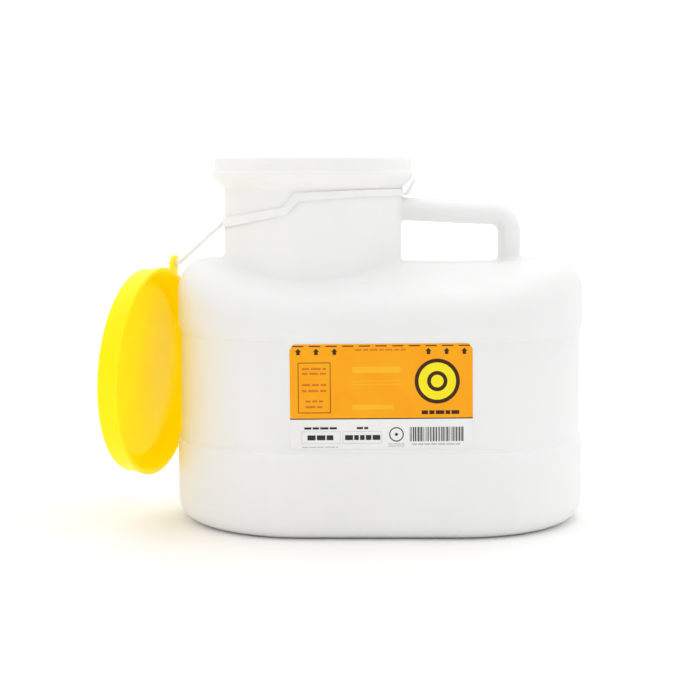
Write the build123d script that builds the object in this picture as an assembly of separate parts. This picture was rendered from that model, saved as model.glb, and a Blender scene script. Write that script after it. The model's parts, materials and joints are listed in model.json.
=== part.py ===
from build123d import *
import math
import os

# Wide-mouth waste jug with a tethered snap lid. Millimetres, +Z up.
# Origin: centre of the base, on the surface the jug stands on. +X points to the handle, -Y to the labelled front.

os.makedirs("parts", exist_ok=True)

# Driving dimensions of the jug
BODY_LENGTH = 315.0
BODY_DEPTH = 200.0
WALL = 2.2
SHOULDER_TOP = 201.8
SHOULDER_CROWN_R = 180.0
SHOULDER_FILLET = 25.0
BASE_FILLET = 17.0
PUSH_UP = 4.0
PUSH_UP_INSET = 32.0

# Label band: a shallow waist between two steps in the wall
BAND_DEPTH = 2.2
BAND_SHOULDER = 1.3
BAND_LOW = 63.3
BAND_HIGH = 153.0
BAND_FLAT_LOW = 67.6
BAND_FLAT_HIGH = 145.6
BAND_STEP = 1.5

# Neck and snap rim, turned about one upright axis
NECK_X = -52.3
NECK_R = 68.6
NECK_FILLET = 4.5
NECK_LOW = 150.0
CONE_LOW = 256.3
LIP_LOW = 264.6
LIP_R = 76.5
BEAD_LOW = 266.2
BEAD_HIGH = 268.8
BEAD_R = 77.7
RIM_LOW = 270.6
RIM_TOP = 279.5
RIM_R = 76.2
RIM_DRAFT = 0.3
MOUTH_WALL = 2.6
MOUTH_LOW = 266.6
MOUTH_CHAMFER = 0.6

# Handle: a hollow loop from the neck to the right of the shoulder
HANDLE_X = 100.8
HANDLE_THICK = 17.2
HANDLE_WIDE = 24.0
HANDLE_NECK_Z = 240.4
HANDLE_CORNER_Z = 236.0
HANDLE_BEND_R = 14.5
HANDLE_ROOT_FILLET = 3.0
HANDLE_FOOT_FILLET = 5.0
CHANNEL_R = 930.0
CHANNEL_DEPTH = 3.6
CHANNEL_X = 47.0
CHANNEL_EDGE_R = 30.0

# Snap lid, and where it hangs
LID_R = 78.6
LID_FLANGE_R = 80.3
LID_FLANGE = 2.5
LID_HEIGHT = 17.0
LID_WALL = 1.7
LID_PANEL_R = 69.0
LID_PANEL_STEP = 3.5
LID_PANEL_DROP = 4.2
LID_SNAP = 0.9
LID_SNAP_HIGH = 1.2
LID_DRAFT = 0.4
LID_CENTRE = (-171.5, -12.0, 114.5)
LID_FACES = -16.3
LID_LEAN = 2.2

# Tab on the lid's flange, turned from the lid's top by this angle
TAB_ANGLE = 18.2
TAB_HOLE_AT = 87.0
TAB_R = 6.0
TAB_HOLE_R = 1.9

# Tether: a loop round the neck, a strap and a button through the tab
LOOP_GAP = 0.4
LOOP_THICK = 1.2
LOOP_LOW_Z = 250.8
LOOP_HIGH_Z = 255.9
LOOP_LEFT_Z = 225.6
LOOP_WIDE_LEFT = 7.8
BAND_LEVEL_X = 42.0
EAR_REACH = 9.1
EAR_THICK = 1.6
EAR_TOP_Z = 263.4
EAR_WIDE = 10.0
STRAP_THICK = 2.4
STRAP_WIDE = 4.8
STRAP_ROUND = 0.8
KNUCKLE_R = 1.2
JOINT_GAP = 0.35
PIN_R = 1.82
HEAD_R = 2.6
HEAD_LONG = 3.4
COLLAR_R = 2.8
COLLAR_THICK = 0.9
STRAP_TOP_Z = 228.3

# Label
LABEL_X = -0.7
LABEL_WIDE = 132.6
LABEL_LOW = 68.4
LABEL_HIGH = 145.0
LABEL_TILT = 0.45
LABEL_THICK = 0.25
LABEL_LIFT = 0.02
LABEL_CORNER_R = 4.0

END_R = BODY_DEPTH / 2
END_X = (BODY_LENGTH - BODY_DEPTH) / 2
FAR = 400.0


def slot_prism(inset, low, high):
    """Upright prism on the jug's footprint, drawn in by inset."""
    outline = SlotOverall(BODY_LENGTH - 2 * inset, BODY_DEPTH - 2 * inset)
    return Pos(0, 0, low) * extrude(outline, amount=high - low)


def ring_along_wall(points, grow=0.0):
    """Ring round the footprint; points are (distance from the end axis, height)."""
    flat = [(radius - grow, height) for radius, height in points]
    front = make_face(Polyline([(END_X, -r, z) for r, z in flat], close=True))
    back = make_face(Polyline([(-END_X, r, z) for r, z in flat], close=True))
    right_axis = Axis((END_X, 0, 0), (0, 0, 1))
    left_axis = Axis((-END_X, 0, 0), (0, 0, 1))
    right = revolve(front, right_axis, 180)
    left = revolve(back, left_axis, 180)
    front_bar = extrude(front, amount=2 * END_X, dir=(-1, 0, 0))
    back_bar = extrude(back, amount=2 * END_X, dir=(1, 0, 0))
    return right + left + front_bar + back_bar


def turned(points, radii, x=NECK_X):
    """Solid turned about the upright axis at x; points are (radius, height), and the last one is on the axis."""
    side = FilletPolyline(*[(x + r, 0, z) for r, z in points], radius=radii)
    back = Polyline(side @ 1, (x, 0, points[0][1]), side @ 0)
    return revolve(make_face(side.edges() + back.edges()), Axis((x, 0, 0), (0, 0, 1)), 360)


def lying_cylinder(radius, x, z, length, along):
    """Cylinder lying along X or Y with its axis at height z."""
    turn = Rot(0, 90, 0) if along == "X" else Rot(90, 0, 0)
    return Pos(x, 0, z) * turn * Cylinder(radius, length)


def tub(inset):
    """Footprint prism under the crowned shoulder, with rounded top and base edges, drawn in by inset."""
    block = slot_prism(inset, inset, SHOULDER_TOP + 10)
    crown = lying_cylinder(SHOULDER_CROWN_R - inset, 0, SHOULDER_TOP - SHOULDER_CROWN_R, FAR, "X")
    shape = block & crown
    top_edges = shape.edges().filter_by(lambda edge: edge.center().Z > SHOULDER_TOP - 60)
    shape = fillet(top_edges, SHOULDER_FILLET - inset)
    low_edges = shape.edges().filter_by(lambda edge: edge.bounding_box().max.Z < inset + 0.01)
    return fillet(low_edges, BASE_FILLET - inset)


def band_cutter(grow):
    """What the label band takes off the wall, with a soft step at its top and bottom."""
    outside = END_R + WALL + 4
    points = [
        (outside, BAND_HIGH),
        (END_R, BAND_HIGH),
        (END_R - BAND_SHOULDER, BAND_FLAT_HIGH + BAND_STEP),
        (END_R - BAND_DEPTH, BAND_FLAT_HIGH),
        (END_R - BAND_DEPTH, BAND_FLAT_LOW),
        (END_R - BAND_SHOULDER, BAND_LOW + BAND_STEP),
        (END_R, BAND_LOW),
        (outside, BAND_LOW),
    ]
    return ring_along_wall(points, grow)


def push_up(grow):
    """Raised middle of the base, so that the jug stands on a ring."""
    foot = SlotOverall(BODY_LENGTH - 2 * (PUSH_UP_INSET - grow), BODY_DEPTH - 2 * (PUSH_UP_INSET - grow))
    return extrude(foot, amount=PUSH_UP + grow, taper=35)


def handle_sweep(grow, start_x):
    """Loop handle of oval section, swept from the neck, round the corner and down into the shoulder."""
    line = FilletPolyline(
        (start_x, 0, HANDLE_NECK_Z),
        (HANDLE_X, 0, HANDLE_CORNER_Z),
        (HANDLE_X, 0, SHOULDER_TOP - 8 + grow),
        radius=HANDLE_BEND_R,
    )
    section = Ellipse(HANDLE_WIDE / 2 - grow, HANDLE_THICK / 2 - grow)
    start = Plane(origin=line @ 0, x_dir=(0, 1, 0), z_dir=line % 0)
    return sweep(start * section, path=line)


def neck_and_rim():
    """Solid neck, cone, snap bead and rim."""
    points = [
        (NECK_R, NECK_LOW),
        (NECK_R, CONE_LOW),
        (LIP_R, LIP_LOW),
        (BEAD_R, BEAD_LOW),
        (BEAD_R, BEAD_HIGH),
        (RIM_R + RIM_DRAFT, RIM_LOW),
        (RIM_R, RIM_TOP),
        (0, RIM_TOP),
    ]
    return turned(points, [3.0, 0.6, 0.5, 0.5, 0.4, 0.8])


def neck_bore():
    """Open inside of the neck, through the mouth, with a small chamfer at the rim."""
    mouth_r = RIM_R - MOUTH_WALL
    above = RIM_TOP + 5
    points = [
        (NECK_R - WALL, NECK_LOW),
        (NECK_R - WALL, CONE_LOW + 1.5),
        (mouth_r, MOUTH_LOW),
        (mouth_r, RIM_TOP - MOUTH_CHAMFER),
        (mouth_r + MOUTH_CHAMFER + above - RIM_TOP, above),
        (0, above),
    ]
    return turned(points, [2.0, 2.0, 0.3, 0.3])


def handle_channel(grow):
    """Long shallow dip along the top of the shoulder, under the handle."""
    height = SHOULDER_TOP - CHANNEL_DEPTH + CHANNEL_R
    return lying_cylinder(CHANNEL_R + grow, CHANNEL_X, height, FAR, "Y")


def at_channel_edge(edge):
    return (edge @ 0.5).Z > SHOULDER_TOP - 2 * CHANNEL_DEPTH and edge.bounding_box().size.X > NECK_R


def body_block(inset):
    """The jug without neck and handle, drawn in by inset."""
    shape = tub(inset) - band_cutter(inset) - handle_channel(inset)
    shape = fillet(shape.edges().filter_by(at_channel_edge), CHANNEL_EDGE_R + inset)
    return shape - push_up(inset)


def on_neck(edge, radius=NECK_R):
    middle = edge @ 0.5
    return abs(math.hypot(middle.X - NECK_X, middle.Y) - radius) < 0.3


def at_neck_foot(edge):
    return on_neck(edge) and 160 < (edge @ 0.5).Z < SHOULDER_TOP + 1


def at_bore_foot(edge):
    return on_neck(edge, NECK_R - WALL) and 160 < (edge @ 0.5).Z < SHOULDER_TOP + 1


def at_bar_root(edge):
    middle = edge @ 0.5
    return on_neck(edge) and middle.X > 5 and abs(middle.Z - HANDLE_NECK_Z) < HANDLE_THICK


def at_leg_foot(edge):
    box = edge.bounding_box()
    near = HANDLE_X - 14 < box.min.X and box.max.X < HANDLE_X + 14
    return near and box.min.Z > SHOULDER_TOP - 12 and box.max.Z < SHOULDER_TOP + 2


def make_container_body():
    """One hollow shell: body, neck, rim and handle."""
    outer = body_block(0) + neck_and_rim()
    outer = fillet(outer.edges().filter_by(at_neck_foot), NECK_FILLET)
    outer = outer + handle_sweep(0, NECK_X + NECK_R - 6)
    outer = fillet(outer.edges().filter_by(at_bar_root), HANDLE_ROOT_FILLET)
    outer = fillet(outer.edges().filter_by(at_leg_foot), HANDLE_FOOT_FILLET)

    hollow = body_block(WALL) + neck_bore()
    hollow = fillet(hollow.edges().filter_by(at_bore_foot), NECK_FILLET + WALL)
    return outer - (hollow + handle_sweep(WALL, NECK_X + NECK_R - 9))


# Directions of the hanging lid: FACING out of its open side, UP and ACROSS in its plane
facing_turn = math.radians(LID_FACES)
lean = math.radians(LID_LEAN)
FACING = Vector(math.cos(facing_turn) * math.cos(lean), math.sin(facing_turn) * math.cos(lean), -math.sin(lean))
ACROSS = Vector(-math.sin(facing_turn), math.cos(facing_turn), 0)
UP = FACING.cross(ACROSS)
LID_PLANE = Plane(origin=LID_CENTRE, x_dir=ACROSS, z_dir=FACING)

# Tab hole, and the swing axis just outside it
tab_turn = math.radians(TAB_ANGLE)
TAB_HOLE = Vector(*LID_CENTRE) + UP * (TAB_HOLE_AT * math.cos(tab_turn)) + ACROSS * (TAB_HOLE_AT * math.sin(tab_turn))
SWING_AT = TAB_HOLE + FACING * (JOINT_GAP + COLLAR_THICK + JOINT_GAP + KNUCKLE_R)

# Strap top: on the loop's outside, straight out from the neck towards the tab
LOOP_IN = NECK_R + LOOP_GAP
LOOP_OUT = LOOP_IN + LOOP_THICK
strap_azimuth = math.atan2(SWING_AT.Y, SWING_AT.X - NECK_X)
OUTWARD = Vector(math.cos(strap_azimuth), math.sin(strap_azimuth), 0)
LIFT_AT = Vector(NECK_X, 0, STRAP_TOP_Z) + OUTWARD * (LOOP_OUT + JOINT_GAP + KNUCKLE_R)


def make_lid():
    """Snap lid drawn open side up (+Z is its open side), then hung in place."""
    inner_r = LID_R - LID_WALL
    outer_panel = -LID_HEIGHT + LID_PANEL_DROP
    groove = -LID_HEIGHT + LID_WALL
    corners = [
        ((LID_PANEL_R - LID_PANEL_STEP, outer_panel), 1.4),
        ((LID_PANEL_R, -LID_HEIGHT), 1.2),
        ((LID_R, -LID_HEIGHT), 2.6),
        ((LID_R + LID_DRAFT, -LID_FLANGE), 0.5),
        ((LID_FLANGE_R, -LID_FLANGE), 0.4),
        ((LID_FLANGE_R, 0), 0.4),
        ((inner_r + LID_DRAFT, 0), 0.3),
        ((inner_r + LID_DRAFT - LID_SNAP, -LID_SNAP_HIGH), 0.5),
        ((inner_r + LID_DRAFT, -2 * LID_SNAP_HIGH), 0.5),
        ((inner_r, groove), 0.9),
        ((LID_PANEL_R + LID_WALL / 2, groove), 0.9),
        ((LID_PANEL_R - LID_PANEL_STEP + LID_WALL / 2, groove + LID_PANEL_DROP), 1.4),
    ]
    ends = [(0, outer_panel), (0, groove + LID_PANEL_DROP)]
    points = [ends[0]] + [point for point, radius in corners] + [ends[1]]
    side = FilletPolyline(*points, radius=[radius for point, radius in corners])
    section = make_face(side.edges() + Line(side @ 1, side @ 0).edges())
    dish = revolve(Plane.XZ * section, Axis.Z, 360)

    reach = TAB_HOLE_AT - LID_R + 1
    tab_flat = Pos(0, TAB_HOLE_AT) * Circle(TAB_R) + Pos(0, TAB_HOLE_AT - reach / 2) * Rectangle(2 * TAB_R, reach)
    tab = extrude(tab_flat, amount=-LID_FLANGE)
    hole = Pos(0, TAB_HOLE_AT, -LID_FLANGE / 2) * Cylinder(TAB_HOLE_R, 3 * LID_FLANGE)
    # In the lid's plane +X runs ACROSS and +Y runs UP, so a clockwise turn brings the tab towards ACROSS
    return LID_PLANE * Rot(0, 0, -TAB_ANGLE) * (dish + tab - hole)


def band_half(points, front):
    """Half of the loop: a flat band outline seen from the front, wrapped on the neck's front or back."""
    outline = make_face(Polyline([(NECK_X + x, 0, z) for x, z in points], close=True))
    way = -1 if front else 1
    slab = extrude(outline, amount=FAR / 2, dir=(0, way, 0))
    tube = Pos(NECK_X, 0, 240) * (Cylinder(LOOP_OUT, 80) - Cylinder(LOOP_IN, 90))
    return tube & slab


def make_tether_loop():
    """Band round the neck: high under the rim at the right, low at the left, stepping down in front."""
    side = LOOP_OUT + 1
    right_end = [(BAND_LEVEL_X, LOOP_LOW_Z), (side, LOOP_LOW_Z), (side, LOOP_HIGH_Z), (BAND_LEVEL_X, LOOP_HIGH_Z)]
    left_low = (-side, LOOP_LEFT_Z)
    left_high = (-side, LOOP_LEFT_Z + LOOP_WIDE_LEFT)
    step_low = [left_low, (-18, 237.6), (-8.5, 247.6)]
    step_high = [(-12, 253.6), (-21, 242.8), left_high]
    front = band_half(step_low + right_end + step_high, True)
    back = band_half([left_low] + right_end + [left_high], False)

    # Pull ear on the right, leaning out from the band's lower half
    root = NECK_X + LOOP_OUT - 0.5
    tip = root + EAR_REACH
    outline = [
        (root, LOOP_LOW_Z),
        (root + 4.4, LOOP_LOW_Z),
        (tip + EAR_THICK, EAR_TOP_Z),
        (tip, EAR_TOP_Z),
        (root + 2.5, LOOP_LOW_Z + EAR_THICK),
        (root, LOOP_LOW_Z + EAR_THICK),
    ]
    ear = make_face(Polyline([(x, 0, z) for x, z in outline], close=True))
    return front + back + extrude(ear, amount=EAR_WIDE / 2, both=True)


def make_tether_strap():
    """Strap from the knuckle at the loop to the knuckle at the button, with round ends on both hinge axes."""
    run = SWING_AT - LIFT_AT
    lift_axis = Vector(OUTWARD.Y, -OUTWARD.X, 0)
    along = Plane(origin=LIFT_AT, x_dir=lift_axis, z_dir=run.normalized())
    bar = extrude(along * RectangleRounded(STRAP_WIDE, STRAP_THICK, STRAP_ROUND), amount=run.length)
    top_plane = Plane(origin=LIFT_AT, x_dir=run.normalized(), z_dir=lift_axis)
    low_plane = Plane(origin=SWING_AT, x_dir=FACING, z_dir=ACROSS)
    return bar + top_plane * Cylinder(KNUCKLE_R, STRAP_WIDE) + low_plane * Cylinder(KNUCKLE_R, STRAP_WIDE)


def make_tether_button():
    """Button on the strap's end: a pin through the tab, an arrow head outside it and a collar inside it."""
    head_root = -LID_FLANGE - JOINT_GAP
    outline = [
        (0, JOINT_GAP + COLLAR_THICK),
        (COLLAR_R, JOINT_GAP + COLLAR_THICK),
        (COLLAR_R, JOINT_GAP),
        (PIN_R, JOINT_GAP),
        (PIN_R, head_root),
        (HEAD_R, head_root),
        (HEAD_R, head_root - 0.8),
        (HEAD_R - 1.2, head_root - HEAD_LONG),
        (0, head_root - HEAD_LONG),
    ]
    at_hole = Plane(origin=TAB_HOLE, x_dir=ACROSS, z_dir=FACING)
    return at_hole * revolve(Plane.XZ * make_face(Polyline(outline, close=True)), Axis.Z, 360)


def make_front_label():
    """Film label on the flat of the label band, a little tilted, wrapping a little way round both ends."""
    middle = (LABEL_LOW + LABEL_HIGH) / 2
    skin = slot_prism(BAND_DEPTH - LABEL_THICK, LABEL_LOW - 2, LABEL_HIGH + 2)
    skin = skin - slot_prism(BAND_DEPTH - LABEL_LIFT, LABEL_LOW - 3, LABEL_HIGH + 3)
    window = RectangleRounded(LABEL_WIDE, LABEL_HIGH - LABEL_LOW, LABEL_CORNER_R)
    front = Plane(origin=(LABEL_X, 0, middle), x_dir=(1, 0, 0), z_dir=(0, -1, 0))
    return skin & extrude(front * Rot(0, 0, LABEL_TILT) * window, amount=FAR / 2)


PARTS = {
    "container_body": make_container_body,
    "lid": make_lid,
    "tether_loop": make_tether_loop,
    "tether_strap": make_tether_strap,
    "tether_button": make_tether_button,
    "front_label": make_front_label,
}

for name, make in PARTS.items():
    export_step(make(), f"parts/{name}.step")
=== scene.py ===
import json
import math
import random

import bmesh
import bpy
from mathutils import Matrix, Vector


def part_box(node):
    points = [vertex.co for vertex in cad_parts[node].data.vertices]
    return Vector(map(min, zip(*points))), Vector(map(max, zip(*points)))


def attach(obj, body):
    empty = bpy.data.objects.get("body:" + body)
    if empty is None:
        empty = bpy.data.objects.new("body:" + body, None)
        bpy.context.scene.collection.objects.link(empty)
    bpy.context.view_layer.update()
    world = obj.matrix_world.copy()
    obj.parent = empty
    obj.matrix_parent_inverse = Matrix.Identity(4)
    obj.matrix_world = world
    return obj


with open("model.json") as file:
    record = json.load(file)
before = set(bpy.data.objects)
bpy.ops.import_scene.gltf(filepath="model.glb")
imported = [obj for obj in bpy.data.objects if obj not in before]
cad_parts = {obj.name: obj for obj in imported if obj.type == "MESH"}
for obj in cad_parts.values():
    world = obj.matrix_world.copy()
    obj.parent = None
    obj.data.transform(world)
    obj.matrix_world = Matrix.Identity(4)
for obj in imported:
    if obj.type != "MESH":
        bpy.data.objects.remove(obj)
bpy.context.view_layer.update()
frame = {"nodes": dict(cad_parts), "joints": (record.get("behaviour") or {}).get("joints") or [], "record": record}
MM = 0.001
JOINTS = {joint["name"]: joint for joint in frame["joints"]}

# ---------------------------------------------------------------- shapes shared with the CAD model
END_X = 57.5 * MM
LABEL_RADIUS = 98.05 * MM
LABEL_CENTRE_X = -0.7 * MM
LABEL_HALF = 66.3 * MM
LABEL_LOW = 68.4 * MM
LABEL_HIGH = 145.0 * MM
LABEL_MIDDLE = (LABEL_LOW + LABEL_HIGH) / 2
LABEL_CORNER = 4.0 * MM
LABEL_TILT = math.radians(0.45)
TAB_HOLE_AT = 87.0 * MM
TAB_ANGLE = math.radians(18.2)
LID_PANEL_OUT = -12.8 * MM

# ---------------------------------------------------------------- print on the label
# Plain numbers here are millimetres: along the label's face from its middle, and up from the base
INK_THICK = 0.03 * MM
PANEL_LOW = 90.9 * MM
RULE_HIGH = 0.75 * MM
DASH_COUNT, DASH_FIRST, DASH_PITCH = 11, -60.2, 12.05
DASH_LEVEL, DASH_WIDE, DASH_HIGH = 143.5, 8.1, 0.8
ARROWS_AT = (-60.1, -47.1, -33.8, 34.3, 47.5, 60.3)
ARROW_TIP, ARROW_SIZE = 141.8, 4.6
NOTICE_FRAME = (-60.4, -36.7, 94.8, 131.7, 0.5)  # left, right, low, high, line
FIGURE_FRAMES = [(-58.0, -30.0, 72.4, 81.3, 0.25), (-28.3, 0.2, 72.4, 81.3, 0.25)]
BADGE_AT, BADGE_R = (40.6, 117.6), 14.6
BADGE_RINGS = [(16.4, 13.6), (7.4, 4.6)]
SIGN_AT = (10.8, 78.9)
SIGN_RINGS = [(5.3, 4.5), (1.1, 0)]
# Along, up, width and height of each bar
PALE_BARS = [(-3.4, 126.2, 35, 4.6), (-3.4, 118.0, 35, 0.7), (-3.4, 115.4, 35, 0.7), (-6.0, 99.0, 30, 3.6)]
STRIPES_FROM, STRIPES_TO, STRIPES_LOW, STRIPES_HIGH = 20.5, 59.0, 73.7, 84.2
STRIPE_WIDTHS, STRIPE_GAPS = (0.35, 0.35, 0.6, 0.9), (0.4, 0.55, 0.9)
BAR_SHORTEST, BAR_LONGEST, BAR_LEAST_ROOM = 3.0, 8.0, 1.5
COLUMN_WIDE = 2.5 * MM
STEM_SHARE = 0.27  # half the width of an arrow's stem, as a share of the arrow's size
# Rows of small print by ink: (left, right, heights, bar height, gap between bars)
PRINT_ROWS = {
    "maroon": [(29.2, 57.9, [94.9], 2.8, 0.9)],
    "rust": [
        (-18.9, 20.2, [140.7], 1.2, 1.3),
        (-57.4, -40.0, [127.1, 123.6, 115.4, 111.0], 1.5, 1.3),
        (-55.0, -42.5, [103.4, 99.3], 1.5, 1.3),
    ],
    "black": [
        (-53.8, -34.1, [76.8], 3.6, 0.9),
        (-26.5, -1.0, [76.8], 3.6, 0.9),
        (-56.0, -32.0, [83.7], 1.6, 0.9),
        (-17.9, -9.7, [83.7], 1.6, 0.9),
    ],
    "grey": [
        (-57.7, -31.5, [69.9], 0.8, 0.7),
        (22.0, 57.0, [71.6], 1.1, 0.7),
        (5.0, 16.6, [71.9, 70.4], 0.7, 0.6),
    ],
}
INK_TONES = {
    "orange": ((1.0, 0.375, 0.002), (1.0, 0.43, 0.003)),
    "pale_orange": ((1.0, 0.48, 0.01), (1.0, 0.52, 0.02)),
    "rust": ((0.62, 0.17, 0.01), (0.70, 0.21, 0.012)),
    "maroon": ((0.045, 0.012, 0.006), (0.07, 0.02, 0.01)),
    "black": ((0.02, 0.02, 0.021), (0.035, 0.035, 0.036)),
    "grey": ((0.50, 0.50, 0.50), (0.58, 0.58, 0.58)),
    "yellow": ((0.95, 0.80, 0.01), (1.0, 0.86, 0.015)),
}

# ---------------------------------------------------------------- colours
# Tones are the two ends of a cloudy colour
JUG_TONES = ((0.880, 0.877, 0.866), (0.918, 0.915, 0.905))
JUG_FLOW, JUG_SPECK, JUG_SCUFF = (0.82, 0.815, 0.80), (0.42, 0.36, 0.28), (0.70, 0.69, 0.67)
LID_TONES = ((1.0, 0.71, 0.0), (1.0, 0.77, 0.0))
LID_RING_TONE = (0.93, 0.55, 0.0)
# Lid emission is painted light: a glow that brightens the lid's inside and throws yellow onto the jug, in place of
# light passing through the thin plastic
LID_PAINTED_GLOW, LID_PAINTED_GLOW_STRENGTH = (1.0, 0.72, 0.0, 1.0), 0.20
TETHER_TONES = ((0.90, 0.90, 0.895), (0.95, 0.95, 0.945))
FILM_TONES = ((0.86, 0.86, 0.855), (0.90, 0.90, 0.895))
FILM_ROUGH, FILM_ROUGH_SPREAD = 0.30, 0.12
FLOOR_TONES = ((0.965, 0.965, 0.965), (0.985, 0.985, 0.985))

# ---------------------------------------------------------------- mould marks, in millimetres
RIDGE_SECTION = [(-0.55, -0.2), (-0.2, 0.2), (0.2, 0.2), (0.55, -0.2)]  # across, out of the wall
RIDGE_STEP = 1.0
RIDGE_BELOW_RIM, RIDGE_ABOVE_BASE = 0.4, 1.0
RIDGE_FEWEST_POINTS = 5
CUT_NEAR = 1e-7  # metres
# Radius and height off the panel, from the middle of the back to the middle of the front
GATE_OUTLINE = [(0, -0.3), (6.2, -0.3), (6.2, 0.1), (5.8, 0.35), (5.2, 0.35), (4.8, 0.1)]
GATE_OUTLINE += [(2.0, 0.1), (1.6, 0.8), (0, 0.9)]

# ---------------------------------------------------------------- camera, in metres and degrees
CAMERA_AT = (-0.0234, -1.2714, 0.2742)
CAMERA_LENS, CAMERA_SENSOR = 83.83, 36.0
CAMERA_PITCH = 3.5
CAMERA_SHIFT = -0.122

# ---------------------------------------------------------------- studio, in metres and watts
FLOOR_RADIUS, FLOOR_LEVEL = 8.0, -0.0001
LIGHT_TARGET = (0, 0, 0.12)
SOFTBOXES = [  # name, size, power, place
    ("softbox_left", 1.2, 0.5, (-1.5, -0.9, 0.9)),
    ("softbox_right", 1.2, 0.7, (1.5, -0.7, 0.9)),
    ("softbox_top", 2.0, 3.0, (0, 0.2, 2.0)),
]
# Sky brightness is the sum of two ramps along the view's axes: (axis, from, to, brightness at each end)
SKY_RAMPS = [("Y", -1.0, 0.95, 0.63, 1.06), ("Z", 0.25, 1.0, 0.0, 0.44)]


# ================================================================ node helpers
class Shader:
    """One material's node tree, with a short call for each kind of node used here."""

    def __init__(self, name):
        self.material = bpy.data.materials.new(name)
        self.material.use_nodes = True
        self.tree = self.material.node_tree
        self.bsdf = self.tree.nodes["Principled BSDF"]
        coords = self.tree.nodes.new("ShaderNodeTexCoord")
        self.place = coords.outputs["Object"]

    def link(self, output, target):
        self.tree.links.new(output, target)

    def mapped(self, scale=(1, 1, 1), turn=(0, 0, 0), move=(0, 0, 0)):
        """Object coordinates, stretched, turned and moved."""
        mapping = self.tree.nodes.new("ShaderNodeMapping")
        mapping.inputs["Scale"].default_value = scale
        mapping.inputs["Rotation"].default_value = turn
        mapping.inputs["Location"].default_value = move
        self.link(self.place, mapping.inputs["Vector"])
        return mapping.outputs["Vector"]

    def noise(self, scale, detail=2.0, roughness=0.5, vector=None):
        node = self.tree.nodes.new("ShaderNodeTexNoise")
        node.inputs["Scale"].default_value = scale
        node.inputs["Detail"].default_value = detail
        node.inputs["Roughness"].default_value = roughness
        self.link(vector or self.place, node.inputs["Vector"])
        return node.outputs["Fac"]

    def cells(self, scale):
        """Voronoi cells: (distance from each cell's point, the cell's own random colour)."""
        node = self.tree.nodes.new("ShaderNodeTexVoronoi")
        node.inputs["Scale"].default_value = scale
        self.link(self.place, node.inputs["Vector"])
        return node.outputs["Distance"], node.outputs["Color"]

    def ramp(self, factor, stops):
        """Colour ramp from (position, colour) stops; a colour may be one grey number."""
        node = self.tree.nodes.new("ShaderNodeValToRGB")
        elements = node.color_ramp.elements
        while len(elements) < len(stops):
            elements.new(0.5)
        for element, (position, colour) in zip(elements, stops):
            element.position = position
            grey = isinstance(colour, (int, float))
            element.color = (colour, colour, colour, 1) if grey else (*colour, 1)
        self.link(factor, node.inputs["Fac"])
        return node.outputs["Color"]

    def maths(self, kind, first, second):
        node = self.tree.nodes.new("ShaderNodeMath")
        node.operation = kind
        for socket, value in zip(node.inputs, (first, second)):
            if isinstance(value, (int, float)):
                socket.default_value = value
            else:
                self.link(value, socket)
        return node.outputs["Value"]

    def clouded(self, tones, scale, detail, roughness=0.5):
        """Colour that drifts between two tones in soft noise."""
        low, high = tones
        return self.ramp(self.noise(scale, detail, roughness), [(0.3, low), (0.7, high)])

    def rough(self, scale, detail, spread, least):
        """Roughness that varies by spread above its least value."""
        return self.maths("ADD", self.maths("MULTIPLY", self.noise(scale, detail), spread), least)

    def mix(self, factor, low, high):
        """Blend of two colours, each a socket, a colour or a number."""
        node = self.tree.nodes.new("ShaderNodeMix")
        node.data_type = "RGBA"
        factor_socket, low_socket, high_socket = node.inputs[0], node.inputs[6], node.inputs[7]
        for socket, value in ((factor_socket, factor), (low_socket, low), (high_socket, high)):
            if isinstance(value, bpy.types.NodeSocket):
                self.link(value, socket)
            else:
                socket.default_value = value if isinstance(value, (int, float)) else (*value, 1)
        return node.outputs[2]

    def bump(self, height, depth, under=None):
        """Bump of the given depth in metres, on top of another bump if one is given."""
        node = self.tree.nodes.new("ShaderNodeBump")
        node.inputs["Distance"].default_value = depth
        self.link(height, node.inputs["Height"])
        if under is not None:
            self.link(under, node.inputs["Normal"])
        return node.outputs["Normal"]

    def set(self, **values):
        """Constants on the shader's own sockets, such as subsurface_weight=0.2."""
        for key, value in values.items():
            words = [word if word == "IOR" else word.title() for word in key.split("_")]
            self.bsdf.inputs[" ".join(words)].default_value = value

    def feed(self, **outputs):
        for key, output in outputs.items():
            self.link(output, self.bsdf.inputs[key.replace("_", " ").title()])


# ================================================================ materials
def jug_material():
    """Natural white blow-moulded polyethylene: waxy, faintly cloudy, with orange peel, specks and scuffs."""
    s = Shader("jug_hdpe")
    colour = s.clouded(JUG_TONES, 9.0, 3.0, 0.55)
    flow = s.noise(1.0, 2.0, 0.5, s.mapped(scale=(70, 70, 5)))
    colour = s.mix(s.ramp(flow, [(0.45, 0.0), (0.75, 0.10)]), colour, JUG_FLOW)

    distance, cell = s.cells(26.0)
    chosen = s.ramp(cell, [(0.86, 0.0), (0.88, 1.0)])
    dot = s.ramp(distance, [(0.008, 1.0), (0.016, 0.0)])
    colour = s.mix(s.maths("MULTIPLY", chosen, dot), colour, JUG_SPECK)

    scuffs = s.noise(1.0, 4.0, 0.6, s.mapped(scale=(24, 24, 160), turn=(0.3, 0.5, 0.2)))
    scuff_mask = s.ramp(scuffs, [(0.66, 0.0), (0.72, 1.0)])
    colour = s.mix(s.maths("MULTIPLY", scuff_mask, 0.10), colour, JUG_SCUFF)
    rough = s.rough(55.0, 3.0, spread=0.14, least=0.32)
    rough = s.maths("ADD", rough, s.maths("MULTIPLY", scuff_mask, 0.12))

    peel = s.bump(s.noise(260.0, 2.0), 0.00005)
    swell = s.bump(s.noise(1.0, 1.0, 0.4, s.mapped(scale=(26, 26, 14))), 0.0009, peel)
    grain = s.bump(s.noise(1900.0, 2.0), 0.00001, swell)
    s.feed(base_color=colour, roughness=rough, normal=grain)
    s.set(subsurface_weight=0.22, subsurface_radius=(0.012, 0.0105, 0.009), subsurface_scale=0.5)
    s.set(IOR=1.51, specular_IOR_level=0.3)
    return s.material


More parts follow.
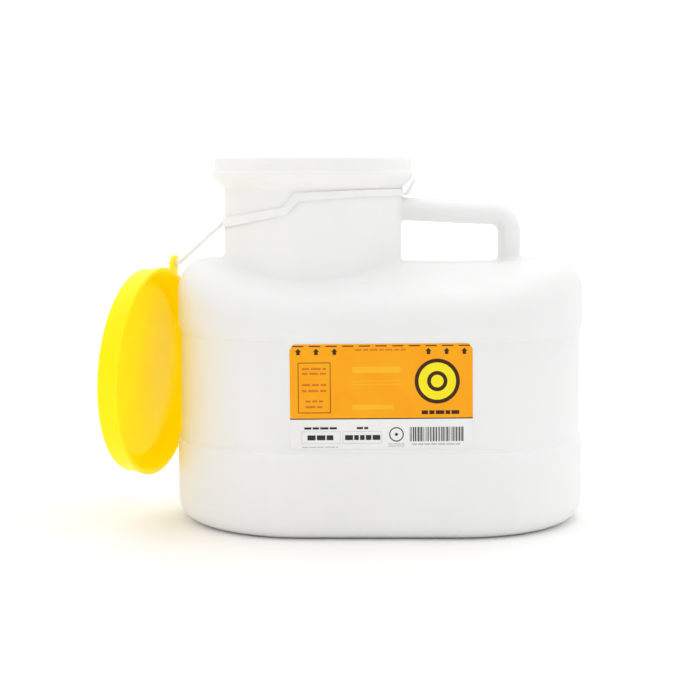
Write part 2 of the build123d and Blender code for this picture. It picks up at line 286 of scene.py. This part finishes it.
def lid_material():
    """Bright yellow injection-moulded plastic: fine turning marks, and a faint painted glow the real one lacks,
    lighting the lid from within.
    """
    s = Shader("lid_yellow")
    colour = s.clouded(LID_TONES, 16.0, 3.0)
    turned = s.tree.nodes.new("ShaderNodeTexWave")
    turned.wave_type = "RINGS"
    turned.rings_direction = "Z"
    turned.inputs["Scale"].default_value = 260.0
    turned.inputs["Distortion"].default_value = 1.5
    s.link(lid_coordinates(s), turned.inputs["Vector"])
    rings = turned.outputs["Fac"]
    colour = s.mix(s.maths("MULTIPLY", rings, 0.05), colour, LID_RING_TONE)
    scratch = s.noise(1.0, 4.0, 0.65, s.mapped(scale=(200, 30, 60), turn=(0.4, 0.2, 0.9)))
    mask = s.ramp(scratch, [(0.68, 0.0), (0.73, 1.0)])
    rough = s.rough(90.0, 3.0, spread=0.12, least=0.28)
    rough = s.maths("ADD", rough, s.maths("MULTIPLY", mask, 0.15))
    lathe = s.bump(rings, 0.00001)
    grain = s.bump(s.noise(900.0, 2.0), 0.00001, lathe)
    swell = s.bump(s.noise(30.0, 1.0), 0.00025, grain)
    s.feed(base_color=colour, roughness=rough, normal=swell)
    s.set(subsurface_weight=0.45, subsurface_radius=(0.008, 0.006, 0.0004), subsurface_scale=0.8)
    s.set(IOR=1.49, specular_IOR_level=0.2)
    # Painted light: the lid glows faintly although it is no lamp
    s.set(emission_color=LID_PAINTED_GLOW, emission_strength=LID_PAINTED_GLOW_STRENGTH)
    return s.material


def lid_coordinates(shader):
    """Object coordinates turned into the lid's own frame, so that rings lie round its axis."""
    turn = lid_frame().inverted().to_euler()
    move = lid_frame().inverted().translation
    return shader.mapped(turn=tuple(turn), move=tuple(move))


def tether_material():
    """Uncoloured milky polyethylene, frosted, with flow streaks."""
    s = Shader("tether_natural")
    colour = s.clouded(TETHER_TONES, 60.0, 3.0, 0.6)
    rough = s.rough(300.0, 2.0, spread=0.2, least=0.25)
    streaks = s.bump(s.noise(1.0, 2.0, 0.5, s.mapped(scale=(300, 300, 900))), 0.00004)
    s.feed(base_color=colour, roughness=rough, normal=streaks)
    s.set(subsurface_weight=0.3, subsurface_radius=(0.004, 0.004, 0.004), subsurface_scale=0.5, IOR=1.5)
    return s.material


def film_material(name, tones):
    """Printed film: two close tones of one colour, print grain and faint waves in the film."""
    s = Shader(name)
    colour = s.clouded(tones, 40.0, 4.0, 0.6)
    dots = s.noise(2600.0, 1.0)
    colour = s.mix(s.maths("MULTIPLY", dots, 0.06), colour, tuple(0.7 * c for c in tones[0]))
    rough = s.rough(120.0, 2.0, FILM_ROUGH_SPREAD, FILM_ROUGH)
    waves = s.bump(s.noise(1.0, 2.0, 0.5, s.mapped(scale=(60, 60, 25))), 0.00008)
    s.feed(base_color=colour, roughness=rough, normal=waves)
    s.set(IOR=1.5, specular_IOR_level=0.22)
    return s.material


def floor_material():
    """Plain pale studio sweep with a faint paper grain."""
    s = Shader("studio_floor")
    colour = s.clouded(FLOOR_TONES, 3.0, 2.0)
    s.feed(base_color=colour, normal=s.bump(s.noise(400.0, 2.0), 0.00005))
    s.set(roughness=0.8)
    return s.material


# ================================================================ frames and small mesh helpers
def lid_frame():
    """The lid's own frame: +Z out of its open side, origin at the middle of its open edge."""
    facing = -Vector(JOINTS["lid_spin"]["axis"]).normalized()
    across = Vector(JOINTS["lid_swing"]["axis"]).normalized()
    up = facing.cross(across)
    to_hole = up * math.cos(TAB_ANGLE) + across * math.sin(TAB_ANGLE)
    centre = Vector(JOINTS["lid_spin"]["pos_m"]) - to_hole * TAB_HOLE_AT
    turn = Matrix((across, up, facing)).transposed()
    return Matrix.Translation(centre) @ turn.to_4x4()


def mesh_piece(name, vertices, faces, material, body):
    """New mesh object that rides on a body, with its faces turned outward."""
    mesh = bpy.data.meshes.new(name)
    mesh.from_pydata([tuple(v) for v in vertices], [], faces)
    mesh.validate()
    piece = bpy.data.objects.new(name, mesh)
    bpy.context.scene.collection.objects.link(piece)
    fix = bmesh.new()
    fix.from_mesh(mesh)
    bmesh.ops.recalc_face_normals(fix, faces=fix.faces)
    fix.to_mesh(mesh)
    fix.free()
    mesh.materials.append(material)
    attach(piece, body)
    return piece


def turned_piece(name, outline, place, material, body, steps=64):
    """Closed solid turned about place's Z axis from (radius, height) points that start and end on it."""
    vertices, faces, rows = [], [], []
    for radius, height in outline:
        if radius < 1e-9:
            rows.append([len(vertices)] * steps)
            vertices.append(place @ Vector((0, 0, height)))
            continue
        rows.append(list(range(len(vertices), len(vertices) + steps)))
        for k in range(steps):
            a = 2 * math.pi * k / steps
            vertices.append(place @ Vector((radius * math.cos(a), radius * math.sin(a), height)))
    for low, high in zip(rows, rows[1:]):
        for k in range(steps):
            ring = [low[k], low[(k + 1) % steps], high[(k + 1) % steps], high[k]]
            faces.append(list(dict.fromkeys(ring)))
    return mesh_piece(name, vertices, faces, material, body)


# ================================================================ label print
def on_label(u, v, lift):
    """Point on the label: u along its face from its middle, v its height, lift off its surface."""
    x = LABEL_CENTRE_X + u * math.cos(LABEL_TILT) - (v - LABEL_MIDDLE) * math.sin(LABEL_TILT)
    z = v + u * math.sin(LABEL_TILT)
    radius = LABEL_RADIUS + lift
    past = abs(x) - END_X
    if past <= 0:
        return Vector((x, -radius, z))
    angle = past / LABEL_RADIUS
    return Vector((math.copysign(END_X + radius * math.sin(angle), x), -radius * math.cos(angle), z))


class Ink:
    """Thin closed patches of one ink colour, gathered into one piece."""

    def __init__(self, name, material, layer=1):
        self.name, self.material = name, material
        self.base = layer * INK_THICK
        self.vertices, self.faces = [], []

    def patch(self, grid, cells):
        """Closes a sheet given as (u, v) points and faces into a thin solid."""
        start, count = len(self.vertices), len(grid)
        for lift in (self.base, self.base + INK_THICK):
            self.vertices += [on_label(u, v, lift) for u, v in grid]
        edges = {}
        for cell in cells:
            self.faces.append([start + i for i in reversed(cell)])
            self.faces.append([start + count + i for i in cell])
            for a, b in zip(cell, cell[1:] + cell[:1]):
                edges[(a, b)] = True
        for a, b in edges:
            if (b, a) not in edges:
                self.faces.append([start + a, start + b, start + count + b, start + count + a])

    def band(self, left, right, low, high):
        """Area between two heights, each a number or a function of u, in narrow columns."""
        columns = max(1, math.ceil((right - left) / COLUMN_WIDE))
        level = [f if callable(f) else (lambda u, f=f: f) for f in (low, high)]
        us = [left + (right - left) * k / columns for k in range(columns + 1)]
        grid = [(u, f(u)) for u in us for f in level]
        cells = [[2 * k, 2 * k + 2, 2 * k + 3, 2 * k + 1] for k in range(columns)]
        self.patch(grid, cells)

    def bar(self, u, v, wide, high):
        self.band(u - wide / 2, u + wide / 2, v - high / 2, v + high / 2)

    def frame(self, left, right, low, high, line):
        self.band(left, right, high - line, high)
        self.band(left, right, low, low + line)
        self.band(left, left + line, low + line, high - line)
        self.band(right - line, right, low + line, high - line)

    def ring(self, u, v, outer, inner=0.0, steps=48):
        angles = [2 * math.pi * k / steps for k in range(steps)]
        turn = [(math.cos(angle), math.sin(angle)) for angle in angles]
        grid = [(u + r * c, v + r * s) for r in (outer, inner or outer / 2) for c, s in turn]
        cells = [[k, (k + 1) % steps, steps + (k + 1) % steps, steps + k] for k in range(steps)]
        if not inner:
            grid.append((u, v))
            cells += [[steps + k, steps + (k + 1) % steps, 2 * steps] for k in range(steps)]
        self.patch(grid, cells)

    def arrow(self, u, v, size):
        """Plain arrow that points up, with its tip at v."""
        head, stem = size / 2, size * STEM_SHARE
        grid = [(u + side, v - head) for side in (-head, -stem, stem, head)]
        grid += [(u, v), (u - stem, v - size), (u + stem, v - size)]
        self.patch(grid, [[0, 1, 2, 3, 4], [1, 5, 6, 2]])

    def print_rows(self, ink, rng):
        """Broken bars that stand for this ink's lines of small print."""
        for left, right, heights, high, gap in PRINT_ROWS[ink]:
            for v in heights:
                u = left
                while u < right - BAR_LEAST_ROOM:
                    wide = min(rng.uniform(BAR_SHORTEST, BAR_LONGEST), right - u)
                    self.bar((u + wide / 2) * MM, v * MM, wide * MM, high * MM)
                    u += wide + gap

    def make(self):
        return mesh_piece(self.name, self.vertices, self.faces, self.material, "container")


def panel_top(u):
    """Upper edge of the coloured panel, with rounded corners."""
    into_corner = max(0.0, abs(u) - (LABEL_HALF - LABEL_CORNER))
    return LABEL_HIGH - LABEL_CORNER + math.sqrt(max(0.0, LABEL_CORNER**2 - into_corner**2))


def make_label_print():
    """The label's print in the photo's layout, with bars, rings and arrows in place of words and signs."""
    rng = random.Random(7)
    inks = {name: film_material(f"print_{name}", tones) for name, tones in INK_TONES.items()}

    panel = Ink("label_panel", inks["orange"], 0)
    panel.band(-LABEL_HALF, LABEL_HALF, PANEL_LOW, panel_top)
    panel.make()

    dark = Ink("label_dark_marks", inks["maroon"])
    dark.band(-LABEL_HALF, LABEL_HALF, PANEL_LOW - RULE_HIGH, PANEL_LOW)
    for k in range(DASH_COUNT):
        dark.bar((DASH_FIRST + DASH_PITCH * k) * MM, DASH_LEVEL * MM, DASH_WIDE * MM, DASH_HIGH * MM)
    for u in ARROWS_AT:
        dark.arrow(u * MM, ARROW_TIP * MM, ARROW_SIZE * MM)
    dark.frame(*[side * MM for side in NOTICE_FRAME])
    for outer, inner in BADGE_RINGS:
        dark.ring(BADGE_AT[0] * MM, BADGE_AT[1] * MM, outer * MM, inner * MM)
    dark.print_rows("maroon", rng)
    dark.make()

    badge = Ink("label_badge", inks["yellow"], 0.5)
    badge.ring(BADGE_AT[0] * MM, BADGE_AT[1] * MM, BADGE_R * MM)
    badge.make()

    small = Ink("label_small_rows", inks["rust"])
    small.print_rows("rust", rng)
    small.make()

    ghost = Ink("label_pale_rows", inks["pale_orange"])
    for u, v, wide, high in PALE_BARS:
        ghost.bar(u * MM, v * MM, wide * MM, high * MM)
    ghost.make()

    figures = Ink("label_figures", inks["black"])
    figures.print_rows("black", rng)
    for outer, inner in SIGN_RINGS:
        figures.ring(SIGN_AT[0] * MM, SIGN_AT[1] * MM, outer * MM, inner * MM)
    u = STRIPES_FROM
    while u < STRIPES_TO:
        wide = rng.choice(STRIPE_WIDTHS)
        figures.band(u * MM, (u + wide) * MM, STRIPES_LOW * MM, STRIPES_HIGH * MM)
        u += wide + rng.choice(STRIPE_GAPS)
    figures.make()

    fine = Ink("label_fine_rows", inks["grey"])
    for sides in FIGURE_FRAMES:
        fine.frame(*[side * MM for side in sides])
    fine.print_rows("grey", rng)
    fine.make()


# ================================================================ mould marks
def outline_links(node):
    """The node's section in the XZ plane, as {point (x, z): the points joined to it}."""
    cut = bmesh.new()
    cut.from_mesh(frame["nodes"][node].data)
    parts = cut.verts[:] + cut.edges[:] + cut.faces[:]
    made = bmesh.ops.bisect_plane(cut, geom=parts, plane_co=(0, 0, 0), plane_no=(0, 1, 0), dist=CUT_NEAR)
    links = {}
    for edge in (e for e in made["geom_cut"] if isinstance(e, bmesh.types.BMEdge)):
        first, second = [(round(v.co.x, 6), round(v.co.z, 6)) for v in edge.verts]
        if first != second:
            links.setdefault(first, set()).add(second)
            links.setdefault(second, set()).add(first)
    cut.free()
    return links


def walk(links, start, follow, stop):
    """Follows joined points from start through follow until stop(point), a loose end or start again."""
    path = [start, follow]
    while not stop(path[-1]) and path[-1] != start:
        onward = [p for p in links[path[-1]] if p != path[-2]]
        if not onward:
            break
        path.append(onward[0])
    return path


def evenly(path, step):
    """Points at an even spacing along a path of (x, z) points."""
    spaced, left = [Vector(path[0])], step
    for a, b in zip(path, path[1:]):
        a, b = Vector(a), Vector(b)
        long = (b - a).length
        while left <= long and long > 0:
            spaced.append(a.lerp(b, left / long))
            left += step
        left -= long
    return spaced


def ridge(name, path, outward, material):
    """Low rounded ridge along an (x, z) path; outward is +1 or -1 for the side that it stands on."""
    vertices, faces = [], []
    for before, here, after in zip(path[:1] + path[:-1], path, path[1:] + path[-1:]):
        along = (after - before).normalized()
        normal = Vector((along.y, -along.x)) * outward
        for side, lift in RIDGE_SECTION:
            point = here + normal * lift * MM
            vertices.append((point.x, side * MM, point.y))
    size = len(RIDGE_SECTION)
    for k in range(len(path) - 1):
        for j in range(size):
            n = (j + 1) % size
            faces.append([k * size + j, k * size + n, (k + 1) * size + n, (k + 1) * size + j])
    faces.append(list(range(size)))
    faces.append([len(vertices) - size + j for j in range(size)])
    return mesh_piece(name, vertices, faces, material, "container")


def runs_above(path, level):
    """The stretches of a path of (x, z) points that lie above a level."""
    runs = [[]]
    for point in path:
        if point.y > level:
            runs[-1].append(point)
        elif runs[-1]:
            runs.append([])
    return [run for run in runs if len(run) >= RIDGE_FEWEST_POINTS]


def make_parting_line(links, material):
    """Parting line from one side of the rim, down and under the base, to the other side."""
    _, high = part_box("container_body")

    def at_rim(point):
        return point[1] > high.z - RIDGE_BELOW_RIM * MM

    leftmost = min(links, key=lambda p: p[0])
    below, above = sorted(links[leftmost], key=lambda p: p[1])
    up = walk(links, leftmost, above, at_rim)
    round_base = walk(links, leftmost, below, at_rim)
    path = evenly(list(reversed(up)) + round_base[1:], RIDGE_STEP * MM)
    for k, points in enumerate(runs_above(path, RIDGE_ABOVE_BASE * MM)):
        ridge(f"parting_line_{k + 1}", points, 1, material)


def make_grip_line(links, material):
    """Parting line round the inside of the handle."""
    openings = frame["record"]["physics"]["openings"]
    low, high = next(o["box_m"] for o in openings if o["name"] == "finger_gap")
    middle = Vector(((low[0] + high[0]) / 2, (low[2] + high[2]) / 2))
    nearest = min(links, key=lambda p: (Vector(p) - middle).length)
    loop = walk(links, nearest, sorted(links[nearest])[0], lambda p: False)
    inside = evenly(loop, RIDGE_STEP * MM)
    area = sum(a.x * b.y - b.x * a.y for a, b in zip(inside, inside[1:]))
    ridge("parting_line_grip", inside, 1 if area < 0 else -1, material)


def make_mould_marks(material):
    """The mould's parting lines, in the plane of the handle."""
    links = outline_links("container_body")
    make_parting_line(links, material)
    make_grip_line(links, material)


def make_lid_gate(material):
    """Small round gate mark in the middle of the lid's outer face."""
    place = lid_frame() @ Matrix.Translation((0, 0, LID_PANEL_OUT)) @ Matrix.Rotation(math.pi, 4, "X")
    outline = [(radius * MM, height * MM) for radius, height in GATE_OUTLINE]
    return turned_piece("lid_gate_mark", outline, place, material, "lid")


# ================================================================ stage
def softbox(name, size, power, place):
    light = bpy.data.lights.new(name, "AREA")
    light.shape = "SQUARE"
    light.size = size
    light.energy = power
    lamp = bpy.data.objects.new(name, light)
    bpy.context.scene.collection.objects.link(lamp)
    lamp.location = place
    lamp.rotation_euler = (Vector(LIGHT_TARGET) - Vector(place)).to_track_quat("-Z", "Y").to_euler()


def make_world():
    """White studio sky: dimmer on the camera's side, full white behind, and brighter overhead."""
    world = bpy.data.worlds.new("studio")
    bpy.context.scene.world = world
    world.use_nodes = True
    tree = world.node_tree
    background = tree.nodes["Background"]
    coords = tree.nodes.new("ShaderNodeTexCoord")
    split = tree.nodes.new("ShaderNodeSeparateXYZ")
    tree.links.new(coords.outputs["Generated"], split.inputs["Vector"])
    total = tree.nodes.new("ShaderNodeMath")
    total.operation = "ADD"
    for slot, (axis, start, end, low, high) in enumerate(SKY_RAMPS):
        ramp = tree.nodes.new("ShaderNodeMapRange")
        ramp.inputs["From Min"].default_value = start
        ramp.inputs["From Max"].default_value = end
        ramp.inputs["To Min"].default_value = low
        ramp.inputs["To Max"].default_value = high
        tree.links.new(split.outputs[axis], ramp.inputs["Value"])
        tree.links.new(ramp.outputs["Result"], total.inputs[slot])
    tree.links.new(total.outputs["Value"], background.inputs["Strength"])
    background.inputs["Color"].default_value = (1, 1, 1, 1)


def make_stage():
    place = (0, 0, FLOOR_LEVEL)
    bpy.ops.mesh.primitive_circle_add(vertices=64, radius=FLOOR_RADIUS, fill_type="NGON", location=place)
    floor = bpy.context.object
    floor.name = "studio_floor"
    floor.data.materials.append(floor_material())
    make_world()
    for box in SOFTBOXES:
        softbox(*box)
    bpy.context.scene.view_settings.view_transform = "Standard"


def make_camera():
    camera = bpy.data.cameras.new("camera")
    camera.lens = CAMERA_LENS
    camera.sensor_width = CAMERA_SENSOR
    camera.shift_y = CAMERA_SHIFT
    lens = bpy.data.objects.new("camera", camera)
    bpy.context.scene.collection.objects.link(lens)
    lens.location = CAMERA_AT
    lens.rotation_euler = (math.radians(90 - CAMERA_PITCH), 0, 0)
    bpy.context.scene.camera = lens


# ================================================================ making
def paint(node, material):
    mesh_object = frame["nodes"][node]
    mesh_object.data.materials.clear()
    mesh_object.data.materials.append(material)


make_camera()
make_stage()
jug = jug_material()
lid = lid_material()
tether = tether_material()
paint("container_body", jug)
paint("lid", lid)
for part in ("tether_loop", "tether_strap", "tether_button"):
    paint(part, tether)
paint("front_label", film_material("label_film", FILM_TONES))
make_label_print()
make_mould_marks(jug)
make_lid_gate(lid)
